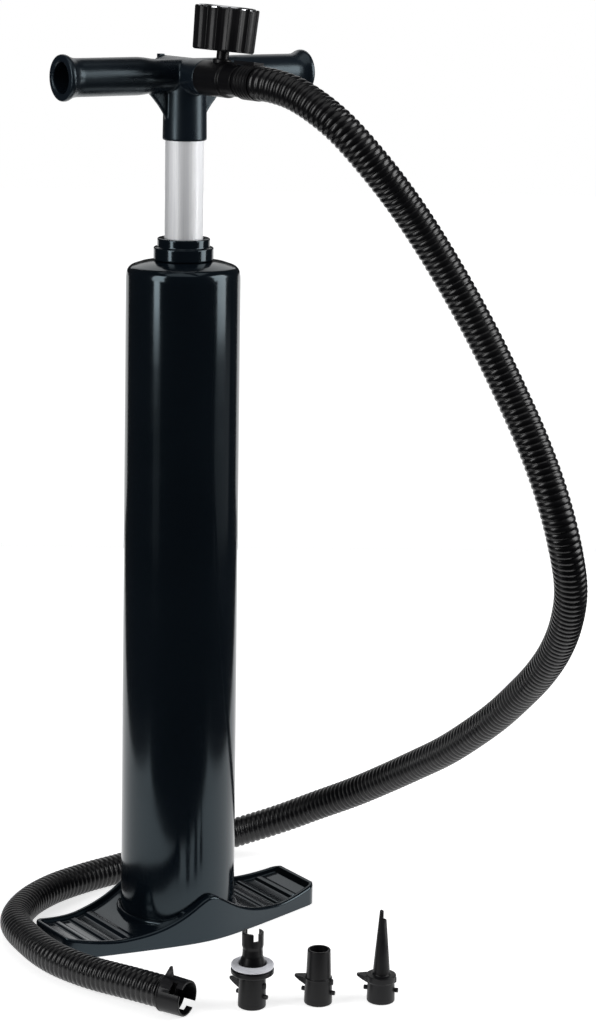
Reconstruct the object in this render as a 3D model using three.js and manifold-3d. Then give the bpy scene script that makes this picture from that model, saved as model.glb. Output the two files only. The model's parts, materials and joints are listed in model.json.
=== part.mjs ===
// Hand-operated stirrup pump with a foot plate, a T-handle, a pressure gauge, a corrugated hose and
// three bayonet nozzles. Millimetres, +Z up. The origin is on the barrel axis at floor level, the
// handle and the plate lie along X, and the air outlet of the handle points to -Y.
import * as THREE from 'three';
import { mergeVertices } from 'three/addons/utils/BufferGeometryUtils.js';
import Module from 'manifold-3d';

const wasm = await Module();
wasm.setup();

// ---- driving dimensions ---------------------------------------------------------------------
const GAP = 0.3; // clearance between pieces that touch on the real pump

const PLATE = { halfLength: 110.5, halfWidth: 48.5, lip: 4.6, recess: 3.5, skin: 3, hub: 45.4, hubTop: 14.6, seat: 12 };
const BARREL = { bottom: 12.3, radius: 42.6, topRadius: 41.1, bore: 38.5, shoulder: 487, top: 501, neck: 17.2 };
const NUT = { low: 21.5, high: 18.9, step: 510.5, top: 517 };
const ROD = { radius: 13.7, bore: 12.2, bottom: 131.6, top: 618 };
const PISTON = { bottom: 103, top: 131.3, radius: 37.4 };
const HANDLE = {
  axis: 632, end: 101.4, grip: 13.3, waist: 11.6, flange: 16.1, bore: 10.8, boreEnd: 40,
  hub: 15.7, hubBottom: 586.5, screwAt: 604, port: 12.3, portFront: -28, portRear: 26, portBore: 8.4,
};
const TEE = {
  tilt: THREE.MathUtils.degToRad(6), root: 12.4, body: 10.9, shoulder: 58, front: 72, collar: 76, nipple: 8,
  bore: 5.5, gaugeAt: 45, cuff: 12.1, cuffEnd: 94,
};
const GAUGE = { bottom: 19, floor: 22, rim: 46.3, top: 49, low: 21.5, high: 22.5, inner: 20.2, flutes: 18, flute: 1.3 };
const HOSE = { radius: 11.7, bore: 9.5, sides: 8, steps: 56 };
const CONNECTOR = {
  at: [-100.6, -139.9, 14], turn: THREE.MathUtils.degToRad(26), dip: 2.4,
  ring: 13.4, ringLength: 2.4, radius: 13.1, mouth: 12.8, bore: 11.3, length: 19.5,
  slotFrom: 108, entryFrom: 129, slotTo: 153, slotFront: 4.7, slotBack: 9.3,
};
const NOZZLE = { radius: 9.9, waist: 9.5, bore: 7.4, peg: 1.65, pegOut: 2.4, pegHeight: 8.7, lever: 17.2, leverTop: 19.2 };
const NOZZLE_PLACES = { wide: [-43.6, -165.4], plain: [-0.9, -185.1], needle: [38.4, -205.8] };
const NOZZLE_TURNS = { wide: 116, plain: 124, needle: 132 };

// The hose leaves the handle towards -Y, falls in a wide arc at the right, and lies on the floor
// behind the barrel and round the left end of the plate. The last point is at its end fitting.
const HOSE_ROUTE = [
  [0, -94.5, 632], [0, -98, 632], [2, -107, 631.3], [9, -125, 626.5], [22, -153, 609], [41, -171, 582], [62, -181, 553],
  [80, -191, 523], [95, -203, 492], [108, -216, 460], [119, -229, 428], [127, -244, 396],
  [134, -257, 362], [143, -262, 327], [156, -255, 294], [168, -238, 264], [178, -216, 237],
  [185, -191, 212], [190, -163, 188], [193, -135, 165], [193, -106, 143], [192, -76, 122],
  [189, -45, 103], [183, -14, 84], [175, 16, 66], [162, 46, 49], [142, 72, 33],
  [115, 92, 21], [80, 101, 14], [44, 98, 12], [8, 92, 12], [-28, 88, 12],
  [-64, 79, 12], [-96, 61, 12], [-120, 34, 12], [-129, -3, 12], [-131, -40, 12],
  [-124, -75, 12], [-110, -117.5, 14], [-100.6, -139.9, 14],
].map(([x, y, z]) => new THREE.Vector3(x, y, z));

// ---- materials ------------------------------------------------------------------------------
const finish = (color, roughness, metalness = 0) =>
  new THREE.MeshStandardMaterial({ color, roughness, metalness });
const NAVY = finish(0x141b26, 0.25);
const BLACK = finish(0x101012, 0.45);
const RUBBER = finish(0x18181a, 0.8);
const ALUMINIUM = finish(0xc4c6ca, 0.3, 1);
const STEEL = finish(0xa0a3a8, 0.35, 1);
const BRASS = finish(0xb08d4a, 0.35, 1);
const WHITE = finish(0xf2f2ee, 0.5);
const GREY = finish(0xc9cacc, 0.6);
const CLEAR = finish(0xdfe8ec, 0.08);
const RED = finish(0xb3241c, 0.5);

// ---- shape tools ----------------------------------------------------------------------------
/** Signed volume of an indexed triangle mesh. */
function signedVolume(points, corners) {
  const a = new THREE.Vector3();
  const b = new THREE.Vector3();
  const c = new THREE.Vector3();
  let sum = 0;
  for (let i = 0; i < corners.length; i += 3) {
    a.fromArray(points, corners[i] * 3);
    b.fromArray(points, corners[i + 1] * 3);
    c.fromArray(points, corners[i + 2] * 3);
    sum += a.dot(b.cross(c));
  }
  return sum / 6;
}

/** Turns a closed geometry into a solid, with its faces pointing out. */
function solid(geometry) {
  const bare = geometry.clone();
  bare.deleteAttribute('normal');
  bare.deleteAttribute('uv');
  const welded = mergeVertices(bare, 1e-4);
  const points = welded.attributes.position.array;
  const corners = [];
  const index = welded.index.array;
  for (let i = 0; i < index.length; i += 3) {
    const [a, b, c] = index.slice(i, i + 3);
    if (a !== b && b !== c && c !== a) corners.push(a, b, c);
  }
  if (signedVolume(points, corners) < 0) corners.reverse();
  const vertProperties = new Float32Array(points);
  const triVerts = new Uint32Array(corners);
  return new wasm.Manifold(new wasm.Mesh({ numProp: 3, vertProperties, triVerts }));
}

function geometryOf(body) {
  const mesh = body.getMesh();
  const geometry = new THREE.BufferGeometry();
  geometry.setAttribute('position', new THREE.BufferAttribute(mesh.vertProperties, 3));
  geometry.setIndex(new THREE.BufferAttribute(mesh.triVerts, 1));
  return geometry;
}

const join = (first, ...rest) => rest.reduce((body, other) => body.add(other), first);
const cut = (first, ...rest) => rest.reduce((body, other) => body.subtract(other), first);

/** A solid turned about Z from [radius, height] points; a profile off the axis is closed on itself. */
function turned(profile, segments = 24) {
  const points = profile.map(([radius, height]) => new THREE.Vector2(radius, height));
  if (profile[0][0] > 0) points.push(points[0].clone());
  return solid(new THREE.LatheGeometry(points, segments).rotateX(Math.PI / 2));
}

/** A plain round bar between two heights. */
const bar = (radius, low, high, segments = 24) =>
  turned([[0, low], [radius, low], [radius, high], [0, high]], segments);

/** A ring or tube between two heights. */
const tube = (inner, outer, low, high, segments = 24) =>
  turned([[inner, low], [outer, low], [outer, high], [inner, high]], segments);

const block = (x0, x1, y0, y1, z0, z1) =>
  solid(new THREE.BoxGeometry(x1 - x0, y1 - y0, z1 - z0)
    .translate((x0 + x1) / 2, (y0 + y1) / 2, (z0 + z1) / 2));

/** Turns a solid that stands on Z so that its +Z end points along +X, -X, +Y or -Y. */
const toPlusX = (body) => body.rotate([0, 90, 0]);
const toMinusX = (body) => body.rotate([0, -90, 0]);
const toMinusY = (body) => body.rotate([90, 0, 0]);
const toPlusY = (body) => body.rotate([-90, 0, 0]);

/** A flat outline of [x, y] points pulled up from one height to another. */
function extruded(outline, low, high) {
  const shape = new THREE.Shape(outline.map(([x, y]) => new THREE.Vector2(x, y)));
  const geometry = new THREE.ExtrudeGeometry(shape, { depth: high - low, bevelEnabled: false });
  return solid(geometry.translate(0, 0, low));
}

/** Joins equal rings of points into a closed solid; each end is a fan from its first point. */
function lofted(rings) {
  const count = rings[0].length;
  const corners = [];
  for (let r = 0; r + 1 < rings.length; r += 1) {
    for (let i = 0; i < count; i += 1) {
      const a = r * count + i;
      const b = r * count + (i + 1) % count;
      corners.push(a, b, b + count, a, b + count, a + count);
    }
  }
  const last = (rings.length - 1) * count;
  for (let i = 1; i + 1 < count; i += 1) {
    corners.push(0, i + 1, i, last, last + i, last + i + 1);
  }
  const geometry = new THREE.BufferGeometry();
  geometry.setAttribute('position', new THREE.Float32BufferAttribute(rings.flat(2), 3));
  geometry.setIndex(corners);
  return solid(geometry);
}

const around = (count, make) => Array.from({ length: count }, (_, i) => make((i / count) * Math.PI * 2, i));

const pump = new THREE.Group();

/** Adds one named piece to a group. */
function piece(name, body, material, group = pump) {
  const mesh = new THREE.Mesh(geometryOf(body), material);
  mesh.name = name;
  group.add(mesh);
}

// ---- foot plate -----------------------------------------------------------------------------
const SCREWS = [[14, 14], [-14, 14], [-14, -14], [14, -14]];
const TREADS = { places: [60, 75, 90], width: 7, height: 1.8 };

/** Half width of the plate at a distance along X: widest at the barrel, with rounded ends. */
function plateHalfWidth(x) {
  const fromCorner = Math.max(0, Math.abs(x) - PLATE.halfLength + 8);
  const taper = 0.26 * (Math.hypot(x, 25) - 25);
  return PLATE.halfWidth - taper - (8 - Math.sqrt(Math.max(0, 64 - fromCorner ** 2)));
}

/** Height of the rim: a shield before the barrel, low along the wing and rising to its end. */
function rimHeight(x) {
  const along = Math.hypot(x, 4) - 4;
  const shield = 25 * Math.exp(-Math.pow(along / 27.7, 1.27));
  const upturn = 0.018 * Math.pow(Math.max(0, along - 68), 1.6);
  return 9 + shield + upturn;
}

const wingHeight = (x) => rimHeight(x) - PLATE.recess;

/** A slab of the plate's outline, moved in by an inset, between two heights that follow X. */
function plateSlab(places, inset, low, high, round = [[0, 0]]) {
  return lofted(places.map((x) => {
    const half = plateHalfWidth(x) - inset;
    const edge = round.map(([inward, down]) => [half - inward, high(x) - down]);
    return [
      [x, 0, low(x)], [x, half, low(x)], ...edge.map(([y, z]) => [x, y, z]),
      ...edge.reverse().map(([y, z]) => [x, -y, z]), [x, -half, low(x)],
    ];
  }));
}

const range = (from, to, count) => Array.from({ length: count + 1 }, (_, i) => from + ((to - from) * i) / count);

function buildFootPlate() {
  const { halfLength, lip, skin, hub, hubTop, seat } = PLATE;
  const corner = [0, 0.5, 1.8, 4.2].map((back) => halfLength - back);
  const along = [...range(0, 100, 24), ...corner.slice().reverse()];
  const mirrored = [...along.slice(1).map((x) => -x).reverse(), ...along];
  const outer = plateSlab(mirrored, 0, () => 0, rimHeight, [[0, 2.4], [0.9, 0.8], [2.5, 0]]);
  const inner = range(22, halfLength - lip, 15);
  const wings = [inner, inner.map((x) => -x).reverse()];
  const dishes = wings.map((places) => plateSlab(places, lip, wingHeight, () => 60));
  const under = [range(49, halfLength - skin, 10), range(-halfLength + skin, -49, 10)];
  const hollows = under.map((places) => plateSlab(places, skin, () => -1, (x) => wingHeight(x) - skin));
  const treads = TREADS.places.flatMap((x) => [x, -x]).map((x) => {
    const half = plateHalfWidth(x) - lip - 0.4;
    const low = wingHeight(x);
    return block(x - TREADS.width / 2, x + TREADS.width / 2, -half, half, low - 2, low + TREADS.height);
  });
  const socket = bar(BARREL.radius + GAP, seat, 60, 40);
  const plenum = tube(24, 32, seat - 6, seat + 1);
  const vents = [-9, 9].map((x) => toPlusY(bar(2.5, 28, 60, 10)).translate([x, 0, seat - 3]));
  const holes = SCREWS.map(([x, y]) =>
    join(bar(2.3, -1, seat + 1, 16), bar(4.6, -1, 5, 10)).translate([x, y, 0]));
  const shell = cut(outer, ...dishes, ...hollows);
  return cut(join(shell, bar(hub, 0, hubTop, 40), ...treads), socket, plenum, ...vents, ...holes);
}

// ---- pump body ------------------------------------------------------------------------------
const PLUG_TOP = 26;

/** A round-headed screw with a cross recess, standing on its head. */
const footScrew = () => cut(
  turned([[0, 1.5], [3.4, 1.5], [4.2, 2.3], [4.2, 4.6], [1.9, 4.6], [1.9, 22], [0, 22.6]], 12),
  block(-2.6, 2.6, -0.5, 0.5, 1, 2.8),
  block(-0.5, 0.5, -2.6, 2.6, 1, 2.8),
);

function addPumpBody() {
  piece('foot_plate', buildFootPlate(), NAVY);
  const { bottom, radius, topRadius, bore, shoulder, top, neck } = BARREL;
  const outside = [
    [radius, bottom], [topRadius, shoulder], [40.6, 493.4], [37.9, 496.6], [30.8, 499.3], [22.2, top],
    [neck, top], [neck, 507],
  ];
  const inside = [[14.6, 507], [14.6, 496], [35, 496], [bore, 490], [bore, bottom]];
  const intakes = around(8, (a) => bar(1.2, 494, 503, 6).translate([19.6 * Math.cos(a), 19.6 * Math.sin(a), 0]));
  piece('barrel', cut(turned([...outside, ...inside], 40), ...intakes), NAVY);

  const fit = bore - GAP;
  const intakesBelow = around(6, (a) =>
    bar(3, bottom - 1, PLUG_TOP + 1, 10).translate([28 * Math.cos(a), 28 * Math.sin(a), 0]));
  const plug = cut(
    turned([
      [0, bottom], [fit, bottom], [fit, 18], [35.4, 18], [35.4, 21.2], [fit, 21.2], [fit, PLUG_TOP], [0, PLUG_TOP],
    ]),
    bar(3.3, bottom + 3, PLUG_TOP + 1, 24),
    ...intakesBelow,
    ...SCREWS.map(([x, y]) => bar(2.3, bottom - 1, 23, 10).translate([x, y, 0])),
  );
  piece('base_plug', plug, BLACK);
  piece('base_o_ring', tube(35.7, 38.2, 18.3, 20.9), RUBBER);
  SCREWS.forEach(([x, y], i) => piece(`foot_screw_${i + 1}`, footScrew().translate([x, y, 0]), STEEL));
  piece('inlet_valve_pin', turned([[0, 16], [3, 16], [3, 29.3], [8, 29.3], [6.5, 31.2], [0, 31.8]], 20), BLACK);
  piece('inlet_valve_disc', tube(3.6, 33, PLUG_TOP + GAP, PLUG_TOP + 1.5), RUBBER);
}

// ---- gland at the top of the barrel ---------------------------------------------------------
function addGland() {
  const { low, high, step, top } = NUT;
  const thread = BARREL.neck + GAP;
  const rod = ROD.radius + GAP;
  const nut = turned([
    [thread, BARREL.top + GAP], [low, BARREL.top + GAP], [low, step - 1.2], [low - 1.2, step], [high, step],
    [high, top - 1.2], [high - 1.2, top], [rod, top], [rod, 514], [thread, 514],
  ]);
  piece('gland_nut', nut, NAVY);
  piece('rod_seal', turned([[rod, 507.5], [16.9, 507.5], [16.9, 509.7], [rod, 509.7]]), RUBBER);
  piece('seal_retainer', turned([[rod, 510.2], [16.9, 510.2], [16.9, 513.6], [rod, 513.6]]), BLACK);
  const bush = turned([[rod, 491.5], [17, 491.5], [17, 495.6], [14.3, 495.6], [14.3, 506.6], [rod, 506.6]]);
  piece('rod_guide_bush', bush, WHITE);
  piece('top_valve_ring', tube(17.6, 25, 491.3, 492.4), RUBBER);
  const carrier = turned([[17.2, 488.4], [36, 488.4], [38.2, 488.8], [38.2, 489.8], [33, 491], [17.2, 491]]);
  const ports = around(8, (a) => bar(1.8, 480, 500, 8).translate([21.5 * Math.cos(a), 21.5 * Math.sin(a), 0]));
  piece('top_valve_carrier', cut(carrier, ...ports), BLACK);
  piece('bump_stop', turned([[14.4, 482.5], [16, 482.5], [18.6, 484.5], [18.6, 488], [14.4, 488]]), RUBBER);
}

// ---- rod and piston -------------------------------------------------------------------------
function addPlunger() {
  const { bottom, top, radius } = PISTON;
  const ring = (count, size, away, low, high) => around(count, (a) =>
    bar(size, low, high, 8).translate([away * Math.cos(a), away * Math.sin(a), 0]));

  const screwHole = toPlusY(bar(2.5, 5, 20, 10)).translate([0, 0, HANDLE.screwAt]);
  piece('rod_tube', cut(tube(ROD.bore, ROD.radius, ROD.bottom, ROD.top), screwHole), ALUMINIUM);
  const plug = turned([[0, 132], [ROD.bore - GAP, 132], [ROD.bore - GAP, 152], [0, 152]]);
  piece('rod_plug', cut(plug, bar(3.4, 131, 150, 24), ...ring(6, 1.8, 7.8, 131, 153)), BLACK);

  const lower = turned([
    [3.4, bottom], [radius, bottom], [radius, bottom + 5], [12, bottom + 5], [12, 124.7], [3.4, 124.7],
  ]);
  const galleries = around(6, (a) =>
    toPlusX(bar(1.5, 6, 14, 6)).translate([0, 0, 113.8]).rotate([0, 0, THREE.MathUtils.radToDeg(a)]));
  const lowerCuts = [...ring(6, 3, 24, 100, 110), ...ring(6, 1.8, 7.8, 112, 126), ...galleries];
  piece('piston_lower_plate', cut(lower, ...lowerCuts), BLACK);
  const upper = turned([[3.4, 125], [radius, 125], [radius, top], [3.4, top]]);
  piece('piston_upper_plate', cut(upper, ...ring(6, 3, 24, 120, 135), ...ring(6, 1.8, 7.8, 120, 135)), BLACK);
  piece('piston_seal_lower', turned([[31, 108.3], [38.2, 108.3], [36.2, 114.2], [31, 114.2]]), RUBBER);
  piece('piston_seal_upper', turned([[31, 118.8], [36.2, 118.8], [38.2, 124.7], [31, 124.7]]), RUBBER);
  piece('piston_spacer', turned([[22, 115.6], [31, 114.5], [36, 114.5], [36, 118.5], [31, 118.5], [22, 117]]), BLACK);
  piece('piston_valve_lower', tube(12.6, 29.6, 108.3, 109.5), RUBBER);
  piece('piston_valve_upper', tube(12.6, 28.6, 118.8, 120), RUBBER);
  const bolt = turned([[0, 100], [6.2, 100], [6.8, 100.6], [6.8, 102.7], [3.1, 102.7], [3.1, 147], [0, 148]], 20);
  piece('piston_bolt', cut(bolt, extruded(around(6, (a) => [2.9 * Math.cos(a), 2.9 * Math.sin(a)]), 99, 101.4)), STEEL);
}

// ---- handle ---------------------------------------------------------------------------------
function buildHandle() {
  const { axis, end, grip, waist, flange, bore, boreEnd, hub, hubBottom, port, portFront, portRear } = HANDLE;
  const arm = turned([
    [0, 0], [waist, 0], [waist, 24], [grip, 38], [grip, end - 9], [grip + 0.7, end - 6.5], [flange, end - 3.6],
    [flange, end - 0.8], [flange - 0.8, end], [bore + 1, end], [bore, end - 1], [bore, boreEnd], [0, boreEnd],
  ], 24);
  const outlet = turned([[0, portFront], [port, portFront], [port, portRear], [0, portRear]], 24);
  const socket = turned([
    [0, hubBottom], [hub - 0.8, hubBottom], [hub, hubBottom + 0.8], [hub - 0.6, axis], [0, axis],
  ]);
  const foot = new THREE.Vector2(hub - 1, hubBottom + 13);
  const tip = new THREE.Vector2(hub + 16, axis - waist + 1);
  const edge = new THREE.QuadraticBezierCurve(foot, new THREE.Vector2(hub + 4, tip.y - 11), tip);
  const outline = [[0, foot.y], ...edge.getPoints(6).map((p) => [p.x, p.y]), [0, tip.y]];
  const gusset = toMinusY(extruded(outline, -1.6, 1.6));
  const body = join(
    toPlusX(arm).translate([0, 0, axis]),
    toMinusX(arm).translate([0, 0, axis]),
    toPlusY(outlet).translate([0, 0, axis]),
    socket, gusset, gusset.mirror([1, 0, 0]),
  );
  return cut(
    body,
    bar(ROD.radius + GAP, hubBottom - 1, ROD.top + GAP, 24),
    bar(9, ROD.top - 1, axis, 32),
    toPlusY(bar(HANDLE.portBore, portFront - 1, portRear + 1, 32)).translate([0, 0, axis]),
    toPlusY(bar(2.5, 10, 17, 10)).translate([0, 0, HANDLE.screwAt]),
  );
}

function addHandle() {
  const { axis, portRear, portBore, port, screwAt } = HANDLE;
  piece('handle', buildHandle(), NAVY);
  const screw = cut(bar(2.2, 12.6, 15.4, 16), bar(1.1, 14, 16, 6));
  piece('handle_screw', toPlusY(screw).translate([0, 0, screwAt]), STEEL);

  const spigot = portBore - GAP;
  const cap = join(
    turned([
      [0, 14], [spigot, 14], [spigot, 18], [6.4, 18], [6.4, 20.6], [spigot, 20.6], [spigot, portRear + GAP],
      [port, portRear + GAP], [port, portRear + 2.4], [port - 0.8, portRear + 3.2], [0, portRear + 3.2],
    ], 24),
    block(-4.2, -0.2, -port - 0.9, -2, portRear + 1, portRear + 5),
  );
  piece('rear_port_cap', toPlusY(cap).translate([0, 0, axis]), NAVY);
  piece('rear_cap_o_ring', toPlusY(tube(6.6, spigot + 0.1, 18.2, 20.4, 24)).translate([0, 0, axis]), RUBBER);
}

// ---- outlet tee, gauge and hose cuff ----------------------------------------------------------
/** Everything that turns on the outlet, with the gauge upright before the tilt is applied. */
function addOutlet() {
  const outlet = new THREE.Group();
  outlet.position.z = HANDLE.axis;
  outlet.rotation.y = TEE.tilt;
  pump.add(outlet);
  const add = (name, body, material) => piece(name, body, material, outlet);

  const { root, body, shoulder, front, collar, nipple, bore, gaugeAt, cuff, cuffEnd } = TEE;
  const start = -HANDLE.portFront + GAP;
  const spigot = HANDLE.portBore - GAP;
  const run = turned([
    [bore, 14], [spigot, 14], [spigot, 18], [6.5, 18], [6.5, 20.6], [spigot, 20.6], [spigot, start], [root, start],
    [root, shoulder - 1.5], [body, shoulder], [body, front], [9.4, front + 0.6], [9.4, front + 1.6],
    [10.8, front + 2], [10.8, collar], [nipple, collar], [nipple, cuffEnd - 3], [nipple - 0.8, cuffEnd - 1],
    [bore, cuffEnd - 1],
  ], 24);
  add('outlet_tee', cut(toMinusY(run), bar(4.6, 0, 20, 24).translate([0, -gaugeAt, 0])), BLACK);
  add('outlet_o_ring', toMinusY(tube(6.7, spigot + 0.1, 18.2, 20.4, 24)), RUBBER);
  const sleeve = toMinusY(turned([
    [nipple + GAP, collar + GAP], [cuff - 0.6, collar + GAP], [cuff, collar + 1], [cuff, cuffEnd], [nipple + GAP, cuffEnd],
  ], 24));
  add('hose_cuff', join(sleeve, block(-4.2, 4.2, 9 - cuffEnd - 5, -66, 11.2, 13.8)), BLACK);

  const addGauge = (name, part, material) => add(name, part.translate([0, -gaugeAt, 0]), material);
  const { bottom, floor, rim, top, low, high, inner, flutes, flute } = GAUGE;
  const fluted = (size, z) => around(flutes * 4, (a, i) => {
    const across = (i % 4) / 2 - 1;
    const r = size - flute * (1 - across * across);
    return [r * Math.cos(a), r * Math.sin(a), z];
  });
  const drum = lofted([fluted(low - 1, bottom), fluted(low, bottom + 1), fluted(high, top)]);
  const notches = around(flutes, (a) =>
    block(inner - 1, 24, -2.6, 2.6, top - 1.2, top + 1).rotate([0, 0, THREE.MathUtils.radToDeg(a + Math.PI / flutes)]));
  const shell = cut(drum, ...notches, bar(4.6, bottom - 1, floor + 1, 24), bar(inner, floor, top + 1, 36),
    bar(inner + 0.5, rim, top + 1, 36));
  addGauge('gauge_case', shell, BLACK);
  addGauge('gauge_stem', turned([[1.5, 6], [4.3, 6], [4.3, floor + GAP], [8, floor + GAP], [8, 25], [1.5, 25]], 24), BRASS);
  const capsule = turned([[0, 25.3], [6, 25.3], [15, 27], [15, 30], [6, 32], [0, 32]], 32);
  addGauge('gauge_capsule', capsule, BRASS);
  addGauge('gauge_dial', tube(1.4, inner - GAP, 41, 42, 32), WHITE);
  const pointer = extruded([[-6, -1.3], [15.5, -0.4], [15.5, 0.4], [-6, 1.3]], 43.4, 44.2).rotate([0, 0, -135]);
  addGauge('gauge_needle', join(bar(0.9, 34, 44.8, 16), pointer), RED);
  addGauge('gauge_lens', bar(inner - GAP, 46.2, 48, 32), CLEAR);
  const bezel = turned([
    [18.4, 48.3], [18.4, 49.3], [19.2, 49.8], [20.4, 48.6], [20.4, 46.6], [20.1, 46.6], [20.1, 48.3],
  ], 32);
  addGauge('gauge_bezel', bezel, STEEL);
}

// ---- hose -----------------------------------------------------------------------------------
function addHose() {
  const { radius, bore, sides, steps } = HOSE;
  const circle = (size) => around(sides, (a) => new THREE.Vector2(size * Math.cos(a), size * Math.sin(a)));
  const section = new THREE.Shape(circle(radius));
  section.holes.push(new THREE.Path(circle(bore)));
  const extrudePath = new THREE.CatmullRomCurve3(HOSE_ROUTE, false, 'centripetal');
  piece('hose_tube', solid(new THREE.ExtrudeGeometry(section, { steps, bevelEnabled: false, extrudePath })), BLACK);

  const { at, turn, dip, ring, ringLength, radius: outer, mouth, bore: open, length: end } = CONNECTOR;
  const { slotFrom, entryFrom, slotTo, slotFront, slotBack } = CONNECTOR;
  const back = 3 * GAP;
  const shell = turned([
    [6.3, -8], [7.7, -8], [7.7, back], [ring - 0.5, back], [ring, back + 0.5], [ring, ringLength - 0.3],
    [outer, ringLength], [mouth, end - 0.6], [mouth - 0.5, end], [open, end], [open, 6], [6.5, 6],
  ], 32);
  const sector = (from, to, low, high) => {
    const rays = [from, (from + to) / 2, to].map((angle) => THREE.MathUtils.degToRad(angle));
    return extruded([[0, 0], ...rays.map((a) => [16 * Math.cos(a), 16 * Math.sin(a)])], low, high);
  };
  const hook = join(
    sector(slotFrom, slotTo, end - slotBack, end - slotFront),
    sector(entryFrom, slotTo, end - slotFront - 0.1, end + 1),
  );
  const fin = extruded([[11.8, 0.8], [20.6, 4.8], [20.6, 6.2], [11.8, 7.4]], -1.1, 1.1).rotate([90, 0, 90]);
  const socket = join(cut(shell, hook, hook.rotate([0, 0, 180])), fin);
  const connector = toMinusY(socket).rotate([dip, 0, 0]);
  const group = new THREE.Group();
  group.position.set(...at);
  group.rotation.z = turn;
  pump.add(group);
  piece('hose_connector', connector, BLACK, group);
}

// ---- nozzles --------------------------------------------------------------------------------
/** What all nozzles share at the foot: two bayonet pegs, and a lever with a knob opposite it. */
function nozzleFittings() {
  const { radius, peg, pegOut, pegHeight, lever, leverTop: top } = NOZZLE;
  const pegs = toPlusX(bar(peg, -radius - pegOut, radius + pegOut, 10)).translate([0, 0, pegHeight]);
  const section = (x, half, low) => [[x, -half, low], [x, half, low], [x, half, top], [x, -half, top]];
  const blade = lofted([section(3, 5.6, top - 5.6), section(lever - 1, 1.9, top - 1.7), section(lever, 1.1, top - 1.3)]);
  const knob = block(-11, 0, -2.4, 2.4, top - 4.4, top - 0.6);
  return join(pegs, blade.rotate([0, 0, 5]), knob);
}

function addNozzles() {
  const { radius, waist, bore } = NOZZLE;
  const place = (body, name) => body.rotate([0, 0, NOZZLE_TURNS[name]]).translate([...NOZZLE_PLACES[name], 0]);
  const foot = (top) => [[0, 0], [radius - 0.4, 0], [radius, 0.4], [radius - 0.2, 9], [waist, top]];
  const fittings = nozzleFittings();

  const crown = turned([
    ...foot(19.6), [9.3, 24.2], [14.6, 24.6], [15.1, 25.2], [15.1, 28], [9.2, 28.4], [9.2, 32], [8.4, 34.6], [7.3, 37.6],
    [7, 43], [7.6, 45], [7.6, 54.6], [7.2, 55], [0, 55],
  ], 28);
  const slots = [
    block(4, 9, -2, 2, 49.6, 60).rotate([0, 0, 139.6]),
    block(3, 9, -4, 4, 43.4, 60).rotate([0, 0, -62.4]),
  ];
  const wide = cut(join(crown, fittings), bar(bore, -1, 20, 32), bar(5.6, -1, 60, 32), ...slots);
  piece('nozzle_wide', place(wide, 'wide'), BLACK);
  const washer = turned([[9.6, 28.8], [14.6, 28.8], [14.9, 29.4], [14.9, 31.5], [14.3, 32.1], [9.6, 32.1]], 32);
  piece('nozzle_washer', place(washer, 'wide'), GREY);

  const pipe = turned([...foot(18.4), [9.7, 18.8], [8.8, 19.4], [8.1, 39.2], [7.7, 39.7], [0, 39.7]], 24);
  const plain = cut(join(pipe, fittings), bar(bore, -1, 17, 32), bar(6.7, -1, 42, 32));
  piece('nozzle_plain', place(plain, 'plain'), BLACK);

  const cone = turned([
    ...foot(14.6), [10.3, 15], [10.5, 15.6], [10.5, 18.8], [10.1, 19.2], [6.2, 19.4], [5, 34], [2.1, 67], [0, 67],
  ], 24);
  const hollow = join(bar(bore, -1, 15, 32), turned([[0, 14], [4.4, 14], [1.1, 70], [0, 70]], 24));
  const notch = block(0.6, 8, -8, 8, 60, 70).rotate([0, 0, -169]);
  const slant = block(-8, 8, -8, 8, 0, 9).rotate([0, 28, 0]).translate([0, 0, 66.2]).rotate([0, 0, -169]);
  const needle = cut(join(cone, fittings), hollow, notch, slant);
  piece('nozzle_needle', place(needle, 'needle'), BLACK);
}

addPumpBody();
addGland();
addPlunger();
addHandle();
addOutlet();
addHose();
addNozzles();

export default pump;
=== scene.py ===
import json
import math

import bmesh
import bpy
import numpy as np
from mathutils import Matrix, Vector


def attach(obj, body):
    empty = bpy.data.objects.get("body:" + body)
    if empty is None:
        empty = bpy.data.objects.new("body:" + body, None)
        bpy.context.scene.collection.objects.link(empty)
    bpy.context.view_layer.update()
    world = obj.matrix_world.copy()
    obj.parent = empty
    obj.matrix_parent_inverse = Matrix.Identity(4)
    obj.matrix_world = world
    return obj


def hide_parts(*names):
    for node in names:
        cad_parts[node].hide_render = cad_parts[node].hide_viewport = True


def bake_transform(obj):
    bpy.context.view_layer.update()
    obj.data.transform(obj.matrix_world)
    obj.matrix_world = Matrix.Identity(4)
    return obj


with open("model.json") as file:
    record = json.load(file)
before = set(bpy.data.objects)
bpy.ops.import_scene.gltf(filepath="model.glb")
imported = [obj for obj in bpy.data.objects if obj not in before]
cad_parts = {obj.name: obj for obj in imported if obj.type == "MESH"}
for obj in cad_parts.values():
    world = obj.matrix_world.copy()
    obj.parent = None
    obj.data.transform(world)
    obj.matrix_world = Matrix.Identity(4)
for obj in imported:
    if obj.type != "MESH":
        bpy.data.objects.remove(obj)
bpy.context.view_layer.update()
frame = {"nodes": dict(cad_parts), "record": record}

MM = 0.001
NODES = frame["nodes"]

# The shared frame: the origin is on the barrel axis at floor level, +Z is up, the handle lies along X
# and the air outlet points to -Y. Sizes of the pump are in millimetres; the camera, the lights and the
# floor are in metres.
HANDLE_AXIS = 632
OUTLET_TILT = math.radians(6)
CONNECTOR_AT = Vector((-100.6, -139.9, 14))
CONNECTOR_TURN = math.radians(26)
CONNECTOR_DIP = math.radians(2.4)
# Place on the floor and turn in degrees.
NOZZLES = {"wide": (-43.6, -165.4, 116), "plain": (-0.9, -185.1, 124), "needle": (38.4, -205.8, 132)}
HOSE_DIAMETER = 23.4

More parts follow.
